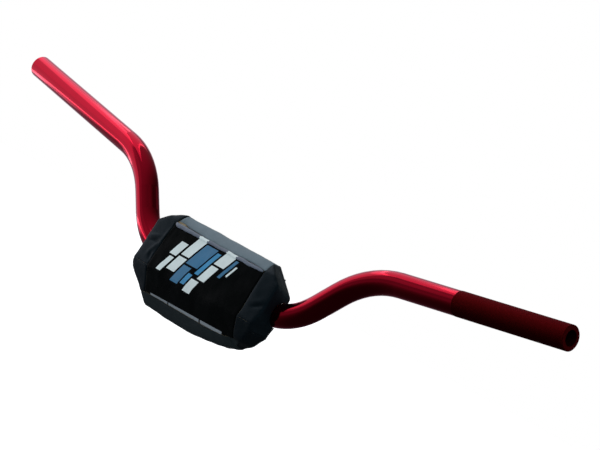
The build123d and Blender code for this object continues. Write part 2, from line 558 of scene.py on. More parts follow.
@dataclass(frozen=True)
class Fuzz:
    """Hook or loop tape: a mat of short loops or hooks."""

    name: str
    colour: str
    pitch: float
    height: float = 0.3

    def material(self) -> bpy.types.Material:
        """Build the finish.

        Returns:
            The material.
        """
        nodes = Nodes(bpy.data.materials.new(self.name))
        loops = nodes.cells(self.pitch)
        nodes.bump(loops, self.height * MM)
        # The colour is painted lighter where the bump stands high: painted highlight on the tops,
        # painted shade between them.
        return nodes.shade(
            Base_Color=nodes.blend_colours(loops, srgb(self.colour), tone(self.colour, 1.6)),
            Roughness=0.9,
            Sheen_Weight=0.4,
        )


@dataclass(frozen=True)
class OpenCellFoam:
    """Open-cell polyurethane foam, cut from a block: small torn pores."""

    colour: str = "B7A786"
    pore_shade_colour: str = "6B5E45"
    pore: float = 1.1
    depth: float = 0.5

    def material(self) -> bpy.types.Material:
        """Build the finish.

        Returns:
            The material.
        """
        nodes = Nodes(bpy.data.materials.new("open-cell polyurethane foam"))
        pores = nodes.cells(self.pore)
        nodes.bump(pores, self.depth * MM, 0.8)
        # The pits of the pores are painted darker: painted shade in the pores.
        return nodes.shade(
            Base_Color=nodes.blend_colours(pores, srgb(self.pore_shade_colour), srgb(self.colour)),
            Roughness=0.95,
        )


# ---------------------------------------------------------------- the print


@dataclass(frozen=True)
class FrontPrint:
    """Plain slanted bars in white and blue, and a pale broken stripe below them.

    Bars are left edge, right edge, top and bottom in millimetres, as X and Z, with X at
    the height of the panel's top edge. Each leans as it goes down.
    """

    top: float = 32.5
    lean: float = 0.44
    bars: tuple[tuple[Ink, float, float, float, float], ...] = (
        (Ink.WHITE, 23.0, 11.0, 38.0, 8.5),
        (Ink.WHITE, 23.0, 11.0, 6.5, -9.0),
        (Ink.WHITE, 36.0, 26.0, 19.0, 4.5),
        (Ink.WHITE, 32.5, 26.0, 2.5, -14.0),
        (Ink.BLUE, 8.5, -8.5, 27.0, 3.5),
        (Ink.BLUE, 8.5, -3.0, 1.5, -17.0),
        (Ink.PALE_BLUE, -10.5, -16.0, 25.0, -1.0),
        (Ink.PALE_BLUE, -5.0, -11.0, -3.0, -14.5),
        (Ink.WHITE, -18.5, -33.0, 38.0, 15.0),
        (Ink.WHITE, -18.5, -29.0, 13.0, -4.0),
        (Ink.WHITE, -13.5, -24.0, -6.0, -19.5),
        (Ink.BLUE, -35.5, -39.5, 27.0, 6.0),
        (Ink.WHITE, -42.0, -44.5, 22.0, 10.0),
    )
    stripe: tuple[tuple[float, float], ...] = ((55.0, 28.6), (26.6, -20.6), (-22.4, -54.6))
    stripe_line: tuple[float, float] = (-36.5, 0.017)
    stripe_width: float = 2.7

    def patches(self) -> list[tuple[Ink, list[tuple[float, float]]]]:
        """All printed shapes, each with its corners as X and Z in millimetres.

        Returns:
            Pairs of ink and corners.
        """
        found = []
        for ink, left, right, high, low in self.bars:
            up, down = ((self.top - z) * self.lean for z in (high, low))
            ends = [(left + up, high), (right + up, high), (right + down, low), (left + down, low)]
            found.append((ink, ends))
        level, slope = self.stripe_line
        half = self.stripe_width / 2
        for left, right in self.stripe:
            high = [(x, level - slope * x + half) for x in (left, right)]
            low = [(x, level - slope * x - half) for x in (right, left)]
            found.append((Ink.SILVER, high + low))
        return found

    @staticmethod
    def holds(corners: list[tuple[float, float]], x: float, z: float) -> bool:
        """Tell whether a convex shape holds a point."""
        turns = [
            (b[0] - a[0]) * (z - a[1]) - (b[1] - a[1]) * (x - a[0])
            for a, b in zip(corners, corners[1:] + corners[:1])
        ]
        return all(t > 0 for t in turns) or all(t < 0 for t in turns)

    def ink_at(self, patches: Sequence[tuple[Ink, list[tuple[float, float]]]], at: Vector) -> int:
        """Number of the ink at a point.

        Args:
            patches: The printed shapes, the last one on top.
            at: Point in metres.

        Returns:
            The ink's slot, that of the ground where nothing is printed.
        """
        found = [ink for ink, corners in patches if self.holds(corners, at.x / MM, at.z / MM)]
        return (found or [Ink.GROUND])[-1].value

    def lay(self, sheet: bpy.types.Object) -> None:
        """Cut the printed shapes into a sheet and number its faces by ink.

        Args:
            sheet: The sheet, facing +Y.
        """
        shape = bmesh.new()
        shape.from_mesh(sheet.data)
        patches = self.patches()
        for _, corners in patches:
            # Faces within a millimetre of the shape are cut, and no others.
            low_x, high_x = min(x for x, _ in corners) - 1, max(x for x, _ in corners) + 1
            low_z, high_z = min(z for _, z in corners) - 1, max(z for _, z in corners) + 1
            for one, two in zip(corners, corners[1:] + corners[:1]):
                near = []
                for face in shape.faces:
                    xs = [v.co.x / MM for v in face.verts]
                    zs = [v.co.z / MM for v in face.verts]
                    in_x = min(xs) < high_x and max(xs) > low_x
                    if in_x and min(zs) < high_z and max(zs) > low_z:
                        near.append(face)
                a, b = (Vector((x, 0, z)) * MM for x, z in (one, two))
                cut_faces(shape, near, a, (b - a).cross(Vector((0, 1, 0))))
        for face in shape.faces:
            face.material_index = self.ink_at(patches, face.calc_center_median())
        shape.to_mesh(sheet.data)
        shape.free()


# ---------------------------------------------------------------- the pad


Plane3 = tuple[Vector, Vector]


@dataclass
class CrashPad:
    """Foam crash pad in a sewn vinyl cover; its straps and closures are made by Closures."""

    centre_x: float = -3.0
    half_width: float = 91.0
    top_z: float = 41.0
    bottom_z: float = -47.0
    front_top: tuple[float, float, float] = (67.6, 20.9, 31.0)
    ridge: tuple[float, float, float] = (69.5, 26.5, -15.0)
    front_bottom: tuple[float, float, float] = (67.5, 15.4, -38.0)
    shoulder_y: float = 25.0
    top_edge_y: float = 13.7
    bottom_edge_y: float = 8.1
    lower_shoulder: tuple[float, float] = (21.8, -21.5)
    top_corner: tuple[float, float, float] = (24.0, 28.0, 13.0)
    bottom_corner_run: float = 23.5
    # Ends of the top sheet: X at the lip and at the top edge, from the pad's middle.
    top_ends: tuple[tuple[float, float], tuple[float, float]] = ((66.6, 64.6), (-67.5, -66.3))
    # Block in metres that the pad's flat sides are cut from.
    block_size: tuple[float, float, float] = (0.21, 0.08, 0.16)
    mesh_pitch: float = 3.0
    cloth_frames: int = 20
    crown: float = 1.2
    cover: float = 0.9
    edge_pull: float = 0.28
    edge_drop: float = 0.45
    foam_gap: float = 1.3
    foam_back: float = 0.05
    foam_voxel: float = 1.5
    worn_depth: float = 4.5
    # Room round the tube: its radii at places along X, and its first bend.
    clearance: float = 0.6
    tube_radii: tuple[tuple[float, float], ...] = (
        (-72.9, 11.1), (-68, 11.1), (-57, 12.7), (-46, 14.3),
    )
    bend_start: float = 72.9
    bend_radius: float = 77.0
    # Drop of the bottom edge of the worn pad at places along X, negative down.
    sag: tuple[tuple[float, float], ...] = (
        (-90, 5.8), (-71, 7.3), (-64, 4.9), (-50, 1.6), (-36, -0.3), (-19, -2.0),
        (-3, -3.4), (30, -3.1), (65, -1.4), (88, 0.0),
    )
    # How far the top sheet stands back from the lip at places along X, and how far that reaches.
    gap: tuple[tuple[float, float], ...] = (
        (-72, 0.8), (-55, 1.7), (-36, 1.5), (-20, 0.6), (15, 0.6), (28, 1.6), (46, 2.4),
        (56, 4.0), (63, 3.2), (66, 0.6),
    )
    gap_reach: float = 7.0
    # Half thickness of the lip at places along X, and the thickness of its sheet.
    lip: tuple[tuple[float, float], ...] = (
        (-72, 1.15), (-45, 1.5), (-20, 1.3), (20, 1.35), (48, 1.7), (64, 1.9),
    )
    lip_sheet: float = 0.5
    skin: bpy.types.Object | None = None

    def facet(self, one: Sequence[float], two: Sequence[float], three: Sequence[float]) -> Plane3:
        """Plane through three points of the pad, its normal away from the pad's middle.

        Args:
            one: Point in millimetres, X from the pad's middle.
            two: Second point.
            three: Third point.

        Returns:
            A point and the unit normal, in metres.
        """
        a, b, c = (Vector(p) for p in (one, two, three))
        normal = (b - a).cross(c - a).normalized()
        if (a - Vector((0, 10, 0))).dot(normal) < 0:
            normal.negate()
        return (a + Vector((self.centre_x, 0, 0))) * MM, normal

    def facets(self) -> list[tuple[Panel, Plane3]]:
        """All flat sides of the pad, each with the cover piece that it belongs to.

        Returns:
            Pairs of panel and plane.
        """
        top_x, top_y, top_z = self.front_top
        ridge_x, ridge_y, ridge_z = self.ridge
        low_x, low_y, low_z = self.front_bottom
        high, bottom = self.top_z, self.bottom_z
        lip, heel = (0, top_y, top_z), (0, low_y, low_z)
        found = [
            (Panel.FRONT, self.facet(self.front_top, lip, self.ridge)),
            (Panel.FRONT, self.facet(self.front_bottom, heel, self.ridge)),
            (Panel.TOP, self.facet(self.front_top, lip, (0, self.top_edge_y, high))),
            (Panel.TOP, self.facet((0, 0, high), (1, 0, high), (0, 1, high))),
            (Panel.BOTTOM, self.facet(self.front_bottom, heel, (0, self.bottom_edge_y, bottom))),
            (Panel.BOTTOM, self.facet((0, 0, bottom), (1, 0, bottom), (0, 1, bottom))),
            (Panel.BACK, (Vector((0, 0, 0)), Vector((0, -1, 0)))),
        ]
        corner_z, corner_run, corner_lean = self.top_corner
        low_shoulder_y, low_shoulder_z = self.lower_shoulder
        for side, upper, lower in (
            (1, Panel.UPPER_RIGHT, Panel.LOWER_RIGHT),
            (-1, Panel.UPPER_LEFT, Panel.LOWER_LEFT),
        ):
            wall = side * self.half_width
            top = (side * top_x, top_y, top_z)
            ridge = (side * ridge_x, ridge_y, ridge_z)
            low = (side * low_x, low_y, low_z)
            shoulder = (wall, self.shoulder_y, ridge_z)
            low_shoulder = (wall, low_shoulder_y, low_shoulder_z)
            heel_x = side * (self.half_width - self.bottom_corner_run)
            found += [
                (upper, self.facet(top, ridge, shoulder)),
                (upper, self.facet(shoulder, low_shoulder, (wall, 0, 0))),
                (
                    upper,
                    self.facet(
                        (wall, self.top_edge_y, corner_z),
                        (side * (self.half_width - corner_run), self.top_edge_y, self.top_z + 2),
                        (side * (self.half_width - corner_lean), 0, corner_z + 5),
                    ),
                ),
                (lower, self.facet(ridge, low, low_shoulder)),
                (
                    lower,
                    self.facet(
                        low_shoulder,
                        (heel_x, self.bottom_edge_y, self.bottom_z),
                        (heel_x, 0, self.bottom_z),
                    ),
                ),
            ]
        return found

    def cut_block(self, facets: list[tuple[Panel, Plane3]]) -> bpy.types.Object:
        """Cut the pad's flat-sided shape out of a block.

        Args:
            facets: Panels and planes.

        Returns:
            The block, each face with its panel as material index.
        """
        bpy.ops.object.select_all(action="DESELECT")
        bpy.ops.mesh.primitive_cube_add(size=1, location=(self.centre_x * MM, 0.02, 0))
        block = bpy.context.object
        block.scale = self.block_size
        bpy.ops.object.transform_apply(location=True, rotation=True, scale=True)
        bpy.ops.object.mode_set(mode="EDIT")
        for _, (point, normal) in facets:
            bpy.ops.mesh.select_all(action="SELECT")
            bpy.ops.mesh.bisect(
                plane_co=point, plane_no=normal, use_fill=True, clear_outer=True, threshold=TOUCH
            )
        bpy.ops.mesh.select_all(action="SELECT")
        bpy.ops.mesh.remove_doubles(threshold=2e-5)
        bpy.ops.mesh.normals_make_consistent(inside=False)
        bpy.ops.object.mode_set(mode="OBJECT")
        for face in block.data.polygons:
            centre = face.center
            best = min(
                facets,
                key=lambda item: abs((centre - item[1][0]).dot(item[1][1]))
                + 0.02 * (1 - face.normal.dot(item[1][1])),
            )
            face.material_index = best[0].value
        self.slant_ends(block)
        return block

    def slant_ends(self, block: bpy.types.Object) -> None:
        """Give the corners past the top sheet's slanted ends to the end covers.

        Args:
            block: The flat-sided shape, its faces numbered by panel.
        """
        slope = (0, self.top_edge_y - self.front_top[1], self.top_z - self.front_top[2])
        shape = bmesh.new()
        shape.from_mesh(block.data)
        for panel, (low, high) in zip((Panel.UPPER_RIGHT, Panel.UPPER_LEFT), self.top_ends):
            start = Vector((low + self.centre_x, self.front_top[1], self.front_top[2])) * MM
            run = Vector((high - low, slope[1], slope[2]))
            away = run.cross(Vector((0, slope[2], -slope[1]))).normalized()
            if away.x * low < 0:
                away.negate()
            top = [f for f in shape.faces if f.material_index == Panel.TOP.value]
            cut_faces(shape, top, start, away)
            for face in shape.faces:
                past = (face.calc_center_median() - start).dot(away) > 0
                if past and face.material_index == Panel.TOP.value:
                    face.material_index = panel.value
        shape.to_mesh(block.data)
        shape.free()

    def fine_skin(self, block: bpy.types.Object) -> bpy.types.Object:
        """Lay an even net of triangles on each flat side of the block.

        Args:
            block: The flat-sided shape.

        Returns:
            The closed net, with seams as creased edges.
        """
        pitch = self.mesh_pitch * MM
        net = bmesh.new()
        for face in block.data.polygons:
            corners = [block.data.vertices[i].co.copy() for i in face.vertices]
            across = (corners[1] - corners[0]).normalized()
            up = face.normal.cross(across)
            rim = []
            for a, b in zip(corners, corners[1:] + corners[:1]):
                if (b - a).length < 1e-5:
                    continue
                steps = max(1, round((b - a).length / pitch))
                rim += [a.lerp(b, i / steps) for i in range(steps)]
            flat = [Vector(((p - corners[0]).dot(across), (p - corners[0]).dot(up))) for p in rim]
            inner = self.lattice(flat, pitch)
            loops = [(i, (i + 1) % len(flat)) for i in range(len(flat))]
            points, _, triangles, *_ = geometry.delaunay_2d_cdt(flat + inner, loops, [], 1, 1e-7)
            verts = [net.verts.new(corners[0] + across * p.x + up * p.y) for p in points]
            for triangle in triangles:
                new = net.faces.new([verts[i] for i in triangle])
                new.material_index = face.material_index
        bmesh.ops.remove_doubles(net, verts=net.verts, dist=3e-5)
        bmesh.ops.recalc_face_normals(net, faces=net.faces)
        crease = net.edges.layers.float.new("crease_edge")
        for edge in net.edges:
            if len({f.material_index for f in edge.link_faces}) > 1:
                edge[crease] = 1.0
        mesh = bpy.data.meshes.new("skin")
        net.to_mesh(mesh)
        net.free()
        skin = new_object("skin", mesh)
        for panel in Panel:
            mesh.materials.append(bpy.data.materials.new(panel.name))
        return skin

    @staticmethod
    def lattice(outline: list[Vector], pitch: float) -> list[Vector]:
        """Points in rows inside an outline, clear of its edge.

        Args:
            outline: Corners of a closed outline.
            pitch: Distance between points.

        Returns:
            The points inside.
        """
        low_x, high_x = min(p.x for p in outline), max(p.x for p in outline)
        low_y, high_y = min(p.y for p in outline), max(p.y for p in outline)
        rows = int((high_y - low_y) / (pitch * ROW)) + 2
        columns = int((high_x - low_x) / pitch) + 2
        inside = []
        for row in range(rows):
            for column in range(columns):
                x = low_x + (column + 0.5 * (row % 2)) * pitch
                point = Vector((x, low_y + row * pitch * ROW))
                crossings = 0
                clear = True
                for a, b in zip(outline, outline[1:] + outline[:1]):
                    if (a.y > point.y) != (b.y > point.y):
                        at = a.x + (point.y - a.y) / (b.y - a.y) * (b.x - a.x)
                        crossings += at > point.x
                    nearest, share = geometry.intersect_point_line(point, a, b)
                    nearest = a if share < 0 else b if share > 1 else Vector(nearest[:2])
                    # A point nearer to the edge than this would leave a sliver there.
                    if (point - nearest).length < 0.55 * pitch:
                        clear = False
                        break
                if clear and crossings % 2:
                    inside.append(point)
        return inside

    def puff(self) -> None:
        """Swell the skin over its filling, held along the seams and the flat back."""
        skin = self.skin
        rest = [v.co.copy() for v in skin.data.vertices]
        creases = skin.data.attributes["crease_edge"].data
        held = {v for e in skin.data.edges for v in e.vertices if creases[e.index].value > 0.5}
        held |= self.corners(Panel.BACK)
        pins = skin.vertex_groups.new(name="pins")
        pins.add(sorted(held), 1.0, "REPLACE")
        only(skin)
        cloth = skin.modifiers.new("cloth", "CLOTH")
        settings = cloth.settings
        settings.quality = 5
        settings.mass = 0.3
        settings.tension_stiffness = 15
        settings.compression_stiffness = 15
        settings.bending_stiffness = 2
        settings.use_pressure = True
        settings.uniform_pressure_force = 4
        settings.vertex_group_mass = "pins"
        settings.effector_weights.gravity = 0
        cloth.point_cache.frame_end = self.cloth_frames
        for frame in range(1, self.cloth_frames + 1):
            bpy.context.scene.frame_set(frame)
        bpy.ops.object.modifier_apply(modifier=cloth.name)
        bpy.context.scene.frame_set(1)
        cap = self.crown * MM
        for vertex, start in zip(skin.data.vertices, rest):
            move = vertex.co - start
            if move.length > 1e-9:
                vertex.co = start + move.normalized() * cap * math.tanh(move.length / cap)
        skin.vertex_groups.clear()

    def hollow(self, at: Vector) -> float:
        """Extra depth of the foam's worn edge under the open top seam, in millimetres."""
        front = ramp01(at.z, 22, 28) * ramp01(at.y, 13, 18)
        return self.worn_depth * front * (1 - ramp01(at.x, 44, 56))

    def corners(self, panel: Panel) -> set[int]:
        """Numbers of the skin's points that a panel uses."""
        faces = (f for f in self.skin.data.polygons if f.material_index == panel.value)
        return {v for f in faces for v in f.vertices}

    def slump(self, point: Vector) -> Vector:
        """Move a point of the cover as the worn pad's lower edge sags and lifts.

        Args:
            point: Point in metres.

        Returns:
            The moved point.
        """
        x, y, z = point / MM
        sag = profile(self.sag, x)
        low = ramp01(-z, 37 if sag < 0 else 29, 47)
        # The left end is drawn in above its corner, the right end leans out and up.
        tuck = 3.6 * ramp01(-z, 4, 21) * (1 - ramp01(-z, 24, 44)) * ramp01(-x, 62, 90)
        spread = (1.9 + ramp01(-z, 8, 28)) * ramp01(x, 68, 88)
        lift = 1.9 * ramp01(z, 20, 36) * ramp01(x, 56, 68)
        return Vector((x + tuck + spread, y, z + low * sag + lift)) * MM

    def make_skin(self) -> None:
        """Make the swollen skin that the foam and the cover pieces are taken from."""
        block = self.cut_block(self.facets())
        self.skin = self.fine_skin(block)
        bpy.data.objects.remove(block)
        self.puff()
        for vertex in self.skin.data.vertices:
            vertex.co = self.slump(vertex.co)
        finish_modifier(self.skin, "SUBSURF", levels=1, render_levels=1)
        # Cloth over foam is never quite flat: slow swells and a little pucker.
        push(self.skin, lambda point: self.pucker(point) + sum(f.height(point) for f in FOLDS))
        LOG.info("skin: %d faces", len(self.skin.data.polygons))

    @staticmethod
    def pucker(point: Vector) -> float:
        """Distance that the cover stands out at a point, none at the back's edge."""
        swell = 0.45 * noise.noise(point * 42) + 0.16 * noise.noise(point * 130)
        return swell * ramp01(point.y / MM, 0, 6) * MM

    def tube_room(self) -> bpy.types.Object:
        """Space that the pad leaves round the tube, as a turned and bent rod.

        Returns:
            The closed rod.
        """
        along = Vector((1, 0, 0))
        rings = [
            (Vector((x, 0, 0)), along, radius + self.clearance)
            for x, radius in self.tube_radii + tuple((-x, r) for x, r in reversed(self.tube_radii))
        ]
        bend = []
        for step in range(1, 9):
            turn = math.radians(6 * step)
            x = self.bend_start + self.bend_radius * math.sin(turn)
            centre = Vector((x, 0, self.bend_radius * (1 - math.cos(turn))))
            direction = Vector((math.cos(turn), 0, math.sin(turn)))
            bend.append((centre, direction, self.tube_radii[0][1] + self.clearance))
        rings = [
            (Vector((-c.x, 0, c.z)), Vector((d.x, 0, -d.z)), r) for c, d, r in reversed(bend)
        ] + rings + bend
        sides = 48
        forward = Vector((0, 1, 0))
        points = []
        for centre, direction, radius in rings:
            rise = forward.cross(direction)
            for k in range(sides):
                turn = 2 * math.pi * k / sides
                round_out = forward * math.cos(turn) + rise * math.sin(turn)
                points.append((centre + round_out * radius) * MM)
        faces = []
        last = (len(rings) - 1) * sides
        for here in range(0, last, sides):
            for k in range(sides):
                after = (k + 1) % sides
                faces.append((here + k, here + after, here + sides + after, here + sides + k))
        faces += [tuple(range(sides)), tuple(range(last, last + sides))]
        room = mesh_object("tube_room", points, faces)
        only(room)
        bpy.ops.object.mode_set(mode="EDIT")
        bpy.ops.mesh.select_all(action="SELECT")
        bpy.ops.mesh.normals_make_consistent(inside=False)
        bpy.ops.object.mode_set(mode="OBJECT")
        return room

    def take(self, name: str, keep: Callable[[bpy.types.MeshPolygon], bool]) -> bpy.types.Object:
        """Copy part of the skin as a new open sheet.

        Args:
            name: The new object's name.
            keep: Tells which faces to keep.

        Returns:
            The sheet.
        """
        faces = [f for f in self.skin.data.polygons if keep(f)]
        used = sorted({v for f in faces for v in f.vertices})
        number = {v: i for i, v in enumerate(used)}
        points = [self.skin.data.vertices[v].co.copy() for v in used]
        return mesh_object(name, points, [[number[v] for v in f.vertices] for f in faces])

    def roll_edges(self, sheet: bpy.types.Object) -> None:
        """Turn the edge of a cover piece in towards the foam, as a sewn seam does.

        Args:
            sheet: The open sheet.
        """
        shape = bmesh.new()
        shape.from_mesh(sheet.data)
        shape.normal_update()
        rim = [v for v in shape.verts if v.is_boundary]
        moves = {}
        for vertex in rim:
            inner = [e.other_vert(vertex) for e in vertex.link_edges if not e.is_boundary]
            centre = sum((v.co for v in inner), Vector()) / len(inner) if inner else vertex.co
            pull = (centre - vertex.co).normalized() * self.edge_pull * MM if inner else Vector()
            moves[vertex] = pull - vertex.normal * self.edge_drop * MM
        for vertex, move in moves.items():
            vertex.co += move
        shape.to_mesh(sheet.data)
        shape.free()

    def cover_piece(
        self,
        name: str,
        node: str,
        sheet: bpy.types.Object,
        materials: Sequence[bpy.types.Material],
        room: bpy.types.Object | None = None,
        outward: float = -1.0,
    ) -> None:
        """Give a cover sheet its thickness and finish, and attach it in place of its CAD node.

        Args:
            name: The piece's name.
            node: The CAD node that it replaces.
            sheet: The open sheet.
            materials: Its finishes, by slot.
            room: Space that the tube takes from it.
            outward: Side that the thickness goes to, 1 outwards and -1 inwards.
        """
        sheet.name = name
        finish_modifier(
            sheet, "SOLIDIFY", thickness=self.cover * MM, offset=outward, use_even_offset=True
        )
        if room is not None:
            finish_modifier(sheet, "BOOLEAN", operation="DIFFERENCE", object=room, solver="EXACT")
        for material in materials:
            sheet.data.materials.append(material)
        smooth(sheet, 50)
        enlist(sheet, node)

    def panel_sheet(self, panel: Panel) -> bpy.types.Object:
        """Take one panel of the skin and roll its edges.

        Args:
            panel: Which part of the skin.

        Returns:
            The open sheet.
        """
        sheet = self.take(panel.name, lambda f: f.material_index == panel.value)
        self.roll_edges(sheet)
        return sheet

    def open_gap(self, sheet: bpy.types.Object) -> None:
        """Pull the top sheet's front edge back from the lip, where the seam gapes.

        Args:
            sheet: The open top sheet.
        """
        slope = self.slope_up(self.front_top, (0, self.top_edge_y, self.top_z))
        out = Vector((0, slope.z, -slope.y))
        lip = Vector((0, self.front_top[1], self.front_top[2]))
        for vertex in sheet.data.vertices:
            back = (vertex.co / MM - lip).dot(slope)
            pull = profile(self.gap, vertex.co.x / MM) * max(0.0, 1 - back / self.gap_reach)
            vertex.co += (slope - out * 0.25) * pull * MM

    @staticmethod
    def slope_up(low: Sequence[float], high: Sequence[float]) -> Vector:
        """Unit vector across X, from the height of one point to that of another."""
        return Vector((0, high[1] - low[1], high[2] - low[2])).normalized()

    def seam_line(self, one: Panel, two: Panel) -> list[Vector]:
        """Points of the skin that two panels share, in order of X.

        Args:
            one: A panel.
            two: Its neighbour.

        Returns:
            The points.
        """
        shared = self.corners(one) & self.corners(two)
        return sorted((self.skin.data.vertices[v].co.copy() for v in shared), key=lambda p: p.x)

    def hem(self, name: str) -> bpy.types.Object:
        """Roll the front sheet's top edge into a soft lip.

        Args:
            name: The piece's name.

        Returns:
            The closed roll.
        """
        line = self.seam_line(Panel.FRONT, Panel.TOP)
        table = [[(p.x / MM, p[axis] / MM) for p in line] for axis in (1, 2)]
        rise = self.slope_up(self.ridge, self.front_top)
        out = Vector((0, rise.z, -rise.y))
        sides, count = 20, 90
        low, high = line[0].x / MM + 1.0, line[-1].x / MM - 1.0
        points = []
        for step in range(count + 1):
            share = step / count
            x = low + (high - low) * share
            slow, quick = Vector((x * 0.09, 3.1, 0)), Vector((x * 0.4, 7.7, 0))
            wave = 0.5 * noise.noise(slow) + 0.15 * noise.noise(quick)
            thick = profile(self.lip, x) * min(1.0, 0.45 + 3.0 * min(share, 1 - share) ** 0.5)
            middle = Vector((x, profile(table[0], x), profile(table[1], x)))
            middle += rise * (wave - 0.5 - 0.4 * thick) + out * 0.45 * thick
            # The roll is open for a narrow slot where it is sewn down to the panel.
            for k in range(sides + 1):
                turn = math.radians(-70 + 320 * k / sides)
                flat = rise * math.cos(turn) * thick * 1.15 + out * math.sin(turn) * thick * 0.8
                points.append((middle + flat) * MM)
        faces = []
        for ring in range(count):
            for k in range(sides):
                first, second = ring * (sides + 1) + k, (ring + 1) * (sides + 1) + k
                faces.append((first, second, second + 1, first + 1))
        roll = mesh_object(name, points, faces)
        face = roll.data.polygons[(count // 2) * sides + sides // 2]
        if face.normal.dot(out) < 0:
            roll.data.flip_normals()
        finish_modifier(roll, "SOLIDIFY", thickness=self.lip_sheet * MM, offset=-1.0)
        return roll

    def fill(self, room: bpy.types.Object) -> None:
        """Make the foam block, a little smaller than the skin.

        Args:
            room: Space that the tube takes from it.
        """
        foam = self.take("foam_block", lambda f: True)
        foam.data.materials.append(OpenCellFoam().material())
        push(foam, lambda point: -(self.foam_gap + self.hollow(point / MM)) * MM)
        for vertex in foam.data.vertices:
            if vertex.co.y < (self.foam_gap + 0.1) * MM:
                vertex.co.y = self.foam_back * MM
        # The flattened back folds over itself, which a cut can't take: it is rebuilt closed.
        finish_modifier(foam, "REMESH", mode="VOXEL", voxel_size=self.foam_voxel * MM)
        finish_modifier(foam, "BOOLEAN", operation="DIFFERENCE", object=room, solver="EXACT")
        smooth(foam)
        enlist(foam, "pad_foam_core")

    def face_sheets(self) -> None:
        """Make the printed front sheet and its rolled hem."""
        inks = [
            Vinyl("gloss black vinyl", "050707", 0.28, level=0.02).material(),
            Vinyl("white screen print on vinyl", "DDEBEB", 0.3).material(),
            Vinyl("blue screen print on vinyl", "2C6E96", 0.3).material(),
            Vinyl("pale blue screen print on vinyl", "2F8ABB", 0.3).material(),
            Vinyl("silver screen print on vinyl", "767F86", 0.4).material(),
        ]
        design = FrontPrint()
        front = self.panel_sheet(Panel.FRONT)
        design.lay(front)
        self.cover_piece(
            "front_cover", "front_panel", front, inks
        )
        hem = self.hem("front_hem")
        # The hem is the front sheet's black vinyl: its pale grey-blue base colour is a painted
        # highlight, for the light its round edge reflects.
        inks[0] = Vinyl("black vinyl hem with painted highlight", "616B7B", 0.4).material()
        for material in inks:
            hem.data.materials.append(material)
        patches = design.patches()
        for face in hem.data.polygons:
            face.material_index = design.ink_at(patches, face.center)
        smooth(hem, 60)
        enlist(hem, "front_lip")

    def side_sheets(self, room: bpy.types.Object) -> None:
        """Make the cover's top, bottom, ends and back.

        Args:
            room: Space that the tube takes from the upper ends and the back.
        """
        # The blue tint of this cloth's gloss is a painted colour of the light it reflects.
        gusset = Vinyl("matt vinyl-coated cloth", "070D11", 0.5, level=0.19, tint="A8E2FF")
        # The bottom sheet is given a lighter tone of the ends' cloth.
        belly = Vinyl("lighter vinyl-coated cloth", "182124", 0.55, level=0.1)
        # The top sheet is the ends' dark cloth: its pale slate base colour is painted light, for
        # the light that falls on the top, and its blue gloss tint is a painted colour of the light
        # it reflects.
        painted_top_light_cloth = Vinyl("dark vinyl-coated cloth with painted light on top", "6A7A82", 0.5, level=0.35, tint="DCF0FF")
        backing = Woven("black nylon backing", "17191B", 0.8)
        gusset, belly, painted_top_light_cloth, backing = (f.material() for f in (gusset, belly, painted_top_light_cloth, backing))
        top = self.panel_sheet(Panel.TOP)
        self.open_gap(top)
        self.cover_piece("top_cover", "top_gusset", top, [painted_top_light_cloth])
        bottom = self.panel_sheet(Panel.BOTTOM)
        self.cover_piece("bottom_cover", "bottom_gusset", bottom, [belly])
        for end, size, area, cutter, panels in (
            ("upper", (62, 60), 2360, room, (Panel.UPPER_RIGHT, Panel.UPPER_LEFT)),
            ("lower", (45, 45), 950, None, (Panel.LOWER_RIGHT, Panel.LOWER_LEFT)),
        ):
            for panel, side in zip(panels, ("right", "left")):
                name, node = f"{end}_end_cover_{side}", f"{end}_end_gusset_{side}"
                self.cover_piece(name, node, self.panel_sheet(panel), [gusset], cutter)
        for part, sign, width, area in (("upper", 1, 41, 4500), ("lower", -1, 47, 5750)):
            sheet = self.take(
                part, lambda f: f.material_index == Panel.BACK.value and f.center.z * sign > 0
            )
            name, node, size = f"back_cover_{part}", f"back_panel_{part}", (182, width)
            self.cover_piece(
                name, node, sheet, [backing], room, outward=1.0
            )

    def build(self) -> None:
        """Make the foam and every sheet of the cover."""
        self.make_skin()
        room = self.tube_room()
        self.fill(room)
        self.face_sheets()
        self.side_sheets(room)
        bpy.data.objects.remove(room)
        bpy.data.objects.remove(self.skin)


@dataclass(frozen=True)
class Fold:
    """A crease or ridge along a line on the cover."""

    start: tuple[float, float, float]
    end: tuple[float, float, float]
    depth: float
    width: float

    def height(self, point: Vector) -> float:
        """Distance that the cover moves outwards at a point.

        Args:
            point: Point in metres.

        Returns:
            Distance in metres, negative for a crease.
        """
        a, b = Vector(self.start) * MM, Vector(self.end) * MM
        run = b - a
        share = min(1.0, max(0.0, (point - a).dot(run) / run.length_squared))
        away = (point - a - run * share).length
        fade = math.sin(math.pi * (0.08 + 0.84 * share))
        return self.depth * MM * math.exp(-((away / (self.width * MM)) ** 2)) * fade


# ---------------------------------------------------------------- the studio


